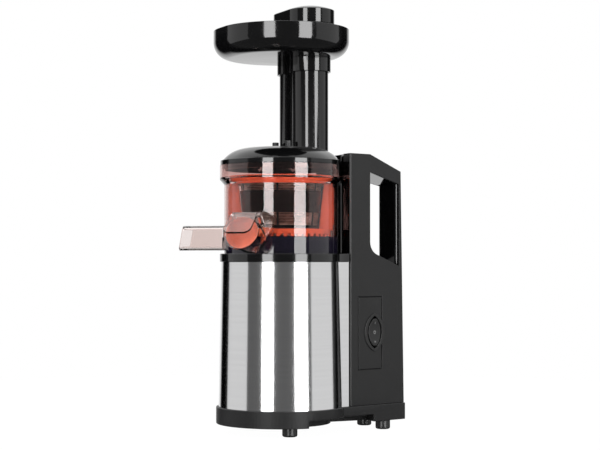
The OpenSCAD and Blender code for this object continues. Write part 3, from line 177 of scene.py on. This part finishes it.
def brushed_steel(name):
    """Stainless sheet brushed round its circumference: long fine scratches, clear in its reflections."""
    def build(s):
        scratches = s.noise(1, 5, (14, 14, 5200), 0.65)
        bands = s.noise(1, 3, (6, 6, 420))
        tone = scratches * 0.5 + bands * 0.5
        return {
            "Base Color": s.blend(tone, (0.60, 0.60, 0.605), (0.72, 0.72, 0.725)),
            "Roughness": scratches.across(0.07, 0.15),
            "Normal": s.bump(scratches, 0.004 * MM, 0.5),
        }
    return finish(name, build, {"Metallic": 1.0})


def turned_metal(name, colour, roughness, metallic=1.0):
    """Machined or drawn metal with fine rings and slight tarnish."""
    def build(s):
        rings, tarnish = s.noise(1, 3, (200, 200, 3000)), s.noise(120, 4)
        return {
            "Base Color": s.blend(tarnish, tinted(colour, 0.85), colour),
            "Roughness": rings.across(roughness - 0.05, roughness + 0.1),
            "Normal": s.bump(rings, 0.008 * MM, 0.4),
        }
    return finish(name, build, {"Metallic": metallic})


def rubber(name, colour, roughness):
    """Soft rubber: dull, slightly dusty, faintly uneven."""
    def build(s):
        dust, skin = s.noise(90, 4), s.noise(1500, 2)
        return {
            "Base Color": s.blend(dust.above(0.45, 0.8), colour, tinted(colour, 1.25, 0.004)),
            "Roughness": dust.across(roughness - 0.07, roughness + 0.08),
            "Normal": s.bump(skin, 0.02 * MM, 0.5),
        }
    return finish(name, build, {"IOR": 1.45})


def silicone(name, colour, deep):
    """Coloured food silicone: clouded between two tones, and the skin has a soft sheen."""
    def build(s):
        cloud, skin = s.noise(70, 3), s.noise(900, 2)
        return {
            "Base Color": s.blend(cloud, colour, deep),
            "Roughness": cloud.across(0.32, 0.44),
            "Normal": s.bump(skin, 0.01 * MM, 0.5),
        }
    return finish(name, build, {"IOR": 1.42, "Coat Weight": 0.15, "Coat Roughness": 0.2})


def winding_copper(name):
    """Enamelled copper wire laid in turns."""
    def build(s):
        turns = s.node("TexWave", {"bands_direction": "DIAGONAL"},
                       {"Vector": s.place(), "Scale": 900, "Distortion": 2.0, "Detail": 2.0}, output=1)
        return {
            "Base Color": s.blend(turns, (0.20, 0.05, 0.015), (0.62, 0.24, 0.08)),
            "Roughness": turns.across(0.45, 0.3),
            "Normal": s.bump(turns, 0.2 * MM, 0.8),
        }
    return finish(name, build, {"Metallic": 0.7, "Coat Weight": 0.5, "Coat Roughness": 0.15})


def circuit_laminate(name):
    """Green circuit board with its woven glass and copper paths showing through the lacquer."""
    def build(s):
        weave = s.noise(2200, 2)
        cells = s.node("TexVoronoi", {"distance": "CHEBYCHEV"}, {"Vector": s.place(), "Scale": 240})
        bare = cells.above(0.35, 0.45)
        return {
            "Base Color": s.blend(bare, (0.02, 0.16, 0.05), (0.01, 0.09, 0.03)),
            "Roughness": weave.across(0.3, 0.45),
            "Normal": s.bump(bare, 0.04 * MM, 0.6),
        }
    return finish(name, build, {"IOR": 1.5})


BOWL_RADIUS = 60.2 * MM     # what stands further out than this, and below the collar, is a spout
COLLAR_FOOT = 250 * MM
DARK_FOOT = 203.5 * MM      # the bowl's floor and skirt, up to here, are nearly opaque
FOOT_DARKEN = 0.9              # how far their own colour hides what is behind it


def smoked_clear(name):
    """Smoky clear plastic: rose in the bowl's wall and collar, paler in its spouts, navy in its foot."""
    material = bpy.data.materials.new(name)
    s = Shader(material)
    flow = s.noise(25, 3)
    x, y, z = (s.along(axis) for axis in "XYZ")
    outside = (x * x + y * y).root().above(BOWL_RADIUS, BOWL_RADIUS + MM)
    spout = outside * (1 - z.above(COLLAR_FOOT, COLLAR_FOOT + MM))
    foot = (1 - z.above(DARK_FOOT, DARK_FOOT + MM)) * (1 - outside)
    rose = s.blend(flow, (0.73, 0.53, 0.505), (0.76, 0.565, 0.54))
    pale = s.blend(flow, (0.85, 0.76, 0.735), (0.88, 0.80, 0.78))
    navy = s.blend(flow, (0.010, 0.008, 0.018), (0.014, 0.011, 0.024))
    polish = {"Roughness": flow.above(0.5, 0.9).across(0.005, 0.025), "IOR": 1.46,
              "Normal": s.bump(flow, 0.005 * MM, 0.3)}
    clear = s.principled({"Base Color": s.blend(spout, rose, pale), "Transmission Weight": 1.0, **polish})
    dark_opaque = s.principled({"Base Color": navy, **polish})
    s.surface(s.node("MixShader", {}, {0: foot * FOOT_DARKEN, 1: clear, 2: dark_opaque}))
    return material


DEEP_BLACK = (0.0035, 0.0035, 0.0038)
FINISHES = {
    "base_plastic": satin_plastic("base_plastic_satin", (0.022, 0.022, 0.0225), 0.42, sheen=0.16),
    "foot_rubber": rubber("foot_rubber_black", (0.012, 0.012, 0.012), 0.35),
    "fastener_steel": turned_metal("screw_steel", (0.5, 0.5, 0.5), 0.35),
    "body_steel": brushed_steel("brushed_steel"),
    "gloss_black": gloss_plastic("deep_gloss_black", DEEP_BLACK),
    "panel_grey": satin_plastic("panel_charcoal", (0.015, 0.015, 0.0153), 0.40, sheen=0.26),
    "switch_black": satin_plastic("switch_satin_black", (0.022, 0.022, 0.022), 0.38, 1800, 0.02 * MM, 0.25),
    "board_green": circuit_laminate("circuit_laminate"),
    "motor_steel": turned_metal("motor_steel_sheet", (0.42, 0.43, 0.45), 0.4),
    "bearing_steel": turned_metal("bearing_steel_ground", (0.62, 0.62, 0.64), 0.22),
    "winding": winding_copper("winding_copper"),
    "shaft_steel": turned_metal("shaft_steel_ground", (0.60, 0.60, 0.61), 0.2),
    "fan_plastic": satin_plastic("fan_plastic_black", (0.02, 0.02, 0.02)),
    "gearbox_alloy": turned_metal("gearbox_alloy_cast", (0.50, 0.50, 0.51), 0.5),
    "gear_nylon": satin_plastic("gear_nylon_ivory", (0.72, 0.69, 0.60), 0.45, 1200),
    "seal_rubber": rubber("seal_rubber_dark", (0.015, 0.015, 0.016), 0.5),
    "smoke_clear": smoked_clear("smoked_clear"),
    "orange_silicone": silicone("silicone_orange", (0.92, 0.20, 0.08), (0.84, 0.145, 0.06)),
    "plug_silicone": silicone("silicone_brown", (0.10, 0.03, 0.02), (0.07, 0.02, 0.015)),
    "strainer_black": gloss_plastic("strainer_black_satin", (0.003, 0.0025, 0.003), 0.3, sheen=0.1),
    # painted reflection: the strainer's steel gets a pale warm colour and little metal, so that soft light
    # brightens it in place of the light its steel would reflect
    "strainer_steel": turned_metal("strainer_sheet", (0.88, 0.78, 0.66), 0.5, metallic=0.15),
    "brush_orange": silicone("brush_orange_plastic", (0.95, 0.20, 0.07), (0.86, 0.15, 0.055)),
    "auger_black": gloss_plastic("auger_black_satin", (0.008, 0.008, 0.009), 0.2),
    "lid_black": gloss_plastic("lid_gloss_black", DEEP_BLACK),
    "hopper_black": gloss_plastic("hopper_gloss_black", DEEP_BLACK),
}


def coat(piece, slot, material=None):
    """Gives a piece its finish: the given material, or else the finish of its slot."""
    piece.data.materials.clear()
    piece.data.materials.append(material or FINISHES[slot])


for node, solid in NODES.items():
    coat(solid, SLOT_OF[node])


# ---------- making pieces ----------

SMOOTH_BELOW = math.radians(35)     # faces that meet at less than this are shaded as one


def shaped(name, shape, node, material=None):
    """Turns a bmesh into a piece that rides with a CAD node and shares its slot."""
    mesh = bpy.data.meshes.new(name)
    shape.to_mesh(mesh)
    shape.free()
    mesh.shade_smooth()
    mesh.set_sharp_from_angle(angle=SMOOTH_BELOW)
    piece = bpy.data.objects.new(name, mesh)
    bpy.context.scene.collection.objects.link(piece)
    coat(piece, SLOT_OF[node], material)
    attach(piece, BODY_OF[node])
    return piece


# ---------- mouldings: CAD nodes with their sharp edges broken ----------

WELD = 0.002 * MM                   # corners nearer than this are one
SLIVER = 0.001 * MM
ONE_FLAT = math.radians(0.05)       # facets that meet at less than this are one flat face
EDGE_ANGLE = math.radians(32)       # edges sharper than this are rounded
EDGE_STEPS = 3

# the tower's side flats turn inwards to the rear, and would stand this far out beside the drive axis
FLAT_TURN = math.radians(14.04)
FLAT_OUT = 54.9 * MM
PANEL_FRONT = 61.5 * MM             # where the side panels begin
CHAMFERED = ("side_panel_left", "side_panel_right")
CHAMFER = 1.4 * MM
BY_FLAT, BY_FRONT = 0.2 * MM, 0.3 * MM      # a corner this near lies on the chamfered edge


def flat_x(y):
    """How far out the tower's side flat is at this distance behind the drive axis."""
    return FLAT_OUT - math.tan(FLAT_TURN) * y


def chamfer_front(shape):
    """Chamfers a side panel's long outer edge at the front."""
    def on_edge(corner):
        return (abs(abs(corner.x) - flat_x(corner.y)) < BY_FLAT
                and abs(corner.y - PANEL_FRONT) < BY_FRONT)

    edges = [edge for edge in shape.edges if all(on_edge(vert.co) for vert in edge.verts)]
    bmesh.ops.bevel(shape, geom=edges, offset=CHAMFER, segments=1, profile=0.5, affect="EDGES",
                    clamp_overlap=True, material=-1)


def merged_solid(node):
    """A bmesh of a CAD node with its loose triangles joined and its truly flat faces whole."""
    shape = bmesh.new()
    shape.from_mesh(NODES[node].data)
    bmesh.ops.remove_doubles(shape, verts=shape.verts, dist=WELD)
    bmesh.ops.dissolve_degenerate(shape, edges=shape.edges, dist=SLIVER)
    bmesh.ops.dissolve_limit(shape, angle_limit=ONE_FLAT, verts=shape.verts, edges=shape.edges)
    return shape


def moulded(node, radius):
    """A CAD node's own shape with its sharp edges rounded, in place of the node."""
    shape = merged_solid(node)
    if node in CHAMFERED:
        chamfer_front(shape)
    piece = shaped(node + "_moulded", shape, node)
    edge = piece.modifiers.new("edge", "BEVEL")
    edge.width, edge.segments, edge.profile = radius, EDGE_STEPS, 0.5
    edge.limit_method, edge.angle_limit = "ANGLE", EDGE_ANGLE
    edge.use_clamp_overlap, edge.harden_normals = False, True
    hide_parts(node)


EDGE_WIDTHS = {             # millimetres
    "base": 0.8, "deck": 0.6, "steel_shell": 0.3, "side_panel_left": 0.5, "side_panel_right": 0.5,
    "switch_bezel": 0.5, "rocker": 0.5, "cord_gland": 0.6,
    "foot_front_left": 0.7, "foot_front_right": 0.7, "foot_rear_left": 0.7, "foot_rear_right": 0.7,
    "lid": 0.4, "lid_stop": 0.4, "hopper_tray": 0.4, "pusher_body": 0.4, "pusher_cap": 0.6,
    "cap_seal": 0.3, "cap_pin": 0.2, "strainer_frame": 0.2, "wipers": 0.3,
}
for node, width in EDGE_WIDTHS.items():
    moulded(node, width * MM)


# ---------- strainer wall ----------

WALL_FOOT = Vector((38 * MM, 0, 216 * MM))
WALL_TOP = Vector((43 * MM, 0, 264 * MM))
WALL_SHEET = 0.9 * MM
CELLS_ROUND, CELL_ROWS = 160, 30


def perforated_wall():
    """The strainer's steel cone: plain sheet at its foot and top, and between them ribs round open cells."""
    shape = bmesh.new()
    side = shape.edges.new([shape.verts.new(end) for end in (WALL_FOOT, WALL_TOP)])
    bmesh.ops.subdivide_edges(shape, edges=[side], cuts=CELL_ROWS - 1)
    bmesh.ops.spin(shape, geom=shape.verts[:] + shape.edges[:], axis=UP, angle=math.tau, steps=CELLS_ROUND,
                   use_merge=True)
    bmesh.ops.recalc_face_normals(shape, faces=shape.faces)
    cells = [cell for cell in shape.faces if not any(edge.is_boundary for edge in cell.edges)]
    bmesh.ops.inset_individual(shape, faces=cells, thickness=0)     # the ribs are deep but have no width
    bmesh.ops.delete(shape, geom=cells, context="FACES")
    piece = shaped("strainer_wall_perforated", shape, "strainer_wall")
    sheet = piece.modifiers.new("sheet", "SOLIDIFY")
    sheet.thickness, sheet.offset = WALL_SHEET, -1.0
    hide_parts("strainer_wall")


perforated_wall()


# ---------- switch marks ----------

SWITCH_Y, SWITCH_Z = 94.3 * MM, 103.5 * MM
DISH_RADIUS, DISH_FLOOR = 70 * MM, 0.6 * MM     # the rocker's hollow face
INK, STROKE, STROKE_LONG = 0.12 * MM, 0.55 * MM, 3 * MM
MARK_UP, PAIR_ASIDE, DOT_CIRCLE, DOTS = 10.5 * MM, 0.7 * MM, 1.4 * MM, 40
ALONG_FLAT = Vector((-math.sin(FLAT_TURN), math.cos(FLAT_TURN), 0))
OFF_FLAT = Vector((math.cos(FLAT_TURN), math.sin(FLAT_TURN), 0))


def print_marks():
    """Generic on, off and reverse marks printed on the rocker: a bar, a ring and a pair of bars."""
    shape = bmesh.new()
    middle = Vector((flat_x(SWITCH_Y), SWITCH_Y, SWITCH_Z))

    def stroke(along, up, width=STROKE, height=STROKE):
        dish = DISH_FLOOR + DISH_RADIUS - math.sqrt(DISH_RADIUS ** 2 - up ** 2)
        spot = middle + ALONG_FLAT * along + UP * up + OFF_FLAT * dish
        turned = Matrix((ALONG_FLAT * width, UP * height, OFF_FLAT * INK)).transposed().to_4x4()
        bmesh.ops.create_cube(shape, size=1, matrix=Matrix.Translation(spot) @ turned)

    stroke(0, MARK_UP, height=STROKE_LONG)
    for side in (-1, 1):
        stroke(side * PAIR_ASIDE, -MARK_UP, height=STROKE_LONG)
    for dot in range(DOTS):
        turn = math.tau * dot / DOTS
        stroke(DOT_CIRCLE * math.cos(turn), DOT_CIRCLE * math.sin(turn))
    ink = satin_plastic("mark_print_grey", (0.30, 0.30, 0.30), 0.5, 1500, 0.005 * MM)
    shaped("switch_marks", shape, "rocker", ink)


print_marks()


# ---------- camera ----------

CAMERA_ROUND = 65                   # degrees from the front
CAMERA_AWAY, CAMERA_UP = 1.63, 0.180
CAMERA_LENS, CAMERA_SENSOR = 93.0, 36.0
CAMERA_YAW, CAMERA_PITCH = math.radians(0.70), math.radians(1.29)


def level_towards(degrees):
    """The level direction from the object that lies this far round from the front."""
    turn = math.radians(degrees)
    return Vector((math.sin(turn), -math.cos(turn), 0))


TO_CAMERA = level_towards(CAMERA_ROUND)
CAMERA_RIGHT = level_towards(CAMERA_ROUND + 90)


def aim(thing, forward):
    thing.rotation_mode = "QUATERNION"
    thing.rotation_quaternion = forward.to_track_quat("-Z", "Y")


def set_camera():
    camera = bpy.data.objects.new("camera", bpy.data.cameras.new("camera"))
    bpy.context.scene.collection.objects.link(camera)
    camera.data.lens, camera.data.sensor_width = CAMERA_LENS, CAMERA_SENSOR
    camera.data.clip_start, camera.data.clip_end = 0.05, 50
    camera.location = TO_CAMERA * CAMERA_AWAY + UP * CAMERA_UP
    level = -TO_CAMERA * math.cos(CAMERA_YAW) + CAMERA_RIGHT * math.sin(CAMERA_YAW)
    aim(camera, level * math.cos(CAMERA_PITCH) + UP * math.sin(CAMERA_PITCH))
    bpy.context.scene.camera = camera


# ---------- light and floor ----------

LIT_POINT = UP * 0.2        # what the lamps that light the object face
# each lamp's name, degrees round from the camera, height, distance, width, height of its face, and power
LIGHTING = (
    ("key", -45, 1.3, 1.8, 1.2, 1.2, 11),
    ("fill", 55, 0.9, 1.9, 1.3, 1.3, 8),
    ("back", 180, 1.4, 1.8, 1.2, 1.2, 6),
)
MIRRORED = (
    ("strip_left", -24.5, 0.55, 2.0, 0.68, 1.9, 42),
    ("strip_right", 37.5, 0.55, 2.0, 0.80, 1.9, 50),
    ("card_left", -90, 0.55, 2.0, 1.9, 1.9, 8.4),
    ("card_right", 84, 0.55, 2.0, 2.0, 1.9, 9),
)


def lamp(name, turn, height, away, width, tall, power, mirrored):
    """A soft box that faces the object, either for the light on it or for its reflection alone."""
    data = bpy.data.lights.new(name, "AREA")
    data.shape, data.size, data.size_y, data.energy = "RECTANGLE", width, tall, power
    box = bpy.data.objects.new(name, data)
    bpy.context.scene.collection.objects.link(box)
    box.location = level_towards(CAMERA_ROUND + turn) * away + UP * height
    aim(box, (UP * height if mirrored else LIT_POINT) - box.location)
    box.visible_camera, box.visible_diffuse = False, not mirrored
    box.visible_glossy = box.visible_transmission = mirrored


def set_lamps():
    for row in LIGHTING:
        lamp(*row, mirrored=False)
    for row in MIRRORED:
        lamp(*row, mirrored=True)


ROOM = 0.14                 # how bright the steel mirrors the room between the lamps
CEILING = 1.3               # and how much brighter it mirrors what is overhead
SOFT_LIGHT = 0.55           # the even light of the studio on dull surfaces


def set_world():
    """White to the camera, even on dull surfaces; mirrors see a dim room, a white backdrop and a ceiling."""
    world = bpy.data.worlds.new("studio")
    bpy.context.scene.world = world
    s = Shader(world)
    direction = s.node("TexCoord", output="Generated")

    def looking(way):
        """1 straight that way, 0 at a right angle to it."""
        return s.node("VectorMath", {"operation": "DOT_PRODUCT"}, {0: direction, 1: way}, output="Value")

    seen, glossy, through = (s.node("LightPath", output=f"Is {ray} Ray")
                             for ray in ("Camera", "Glossy", "Transmission"))
    behind, facing, rising = looking(-TO_CAMERA), looking(TO_CAMERA), looking(UP)
    room = rising.above(0.15, 0.6) * CEILING + ROOM
    backdrop = behind.above(0.80, 0.92)
    dark_surround = (1 - facing.above(-0.6, -0.25)) * (1 - rising.above(0.1, 0.3))
    mirrored = backdrop + (1 - backdrop) * room * (1 - dark_surround)
    broad_backdrop = behind.above(0.25, 0.55)           # what shows through clear plastic
    refracted = broad_backdrop + (1 - broad_backdrop) * room
    reflected = glossy * mirrored + (1 - glossy) * SOFT_LIGHT
    strength = seen + (1 - seen) * (through * refracted + (1 - through) * reflected)
    background = s.node("Background", {}, {"Color": (1, 1, 1), "Strength": strength})
    s.node("OutputWorld", {}, {"Surface": background})


FLOOR_RADIUS = 0.8
FLOOR_GLOW = 0.95           # how much of the floor's white is its own, so that its shadow stays faint
FLOOR_WHITE = 1.04          # and how bright that is, so that its far edge doesn't show


def set_floor():
    shape = bmesh.new()
    bmesh.ops.create_circle(shape, cap_ends=True, segments=96, radius=FLOOR_RADIUS)
    mesh = bpy.data.meshes.new("floor")
    shape.to_mesh(mesh)
    shape.free()
    floor = bpy.data.objects.new("floor", mesh)
    bpy.context.scene.collection.objects.link(floor)
    material = bpy.data.materials.new("floor_white")
    s = Shader(material)
    seen, cloud = s.node("LightPath", output="Is Camera Ray"), s.noise(4, 2)
    paint = s.principled({"Base Color": s.blend(cloud, (0.9, 0.9, 0.9), (0.92, 0.92, 0.92)),
                          "Roughness": 0.8, "Specular IOR Level": 0.1})
    glow = s.node("Emission", {}, {"Color": (1, 1, 1), "Strength": FLOOR_WHITE})
    s.surface(s.node("MixShader", {}, {0: seen * FLOOR_GLOW, 1: paint, 2: glow}))
    mesh.materials.append(material)
    floor.visible_glossy = False


set_camera()
set_lamps()
set_world()
set_floor()
bpy.context.scene.view_settings.view_transform = "Standard"
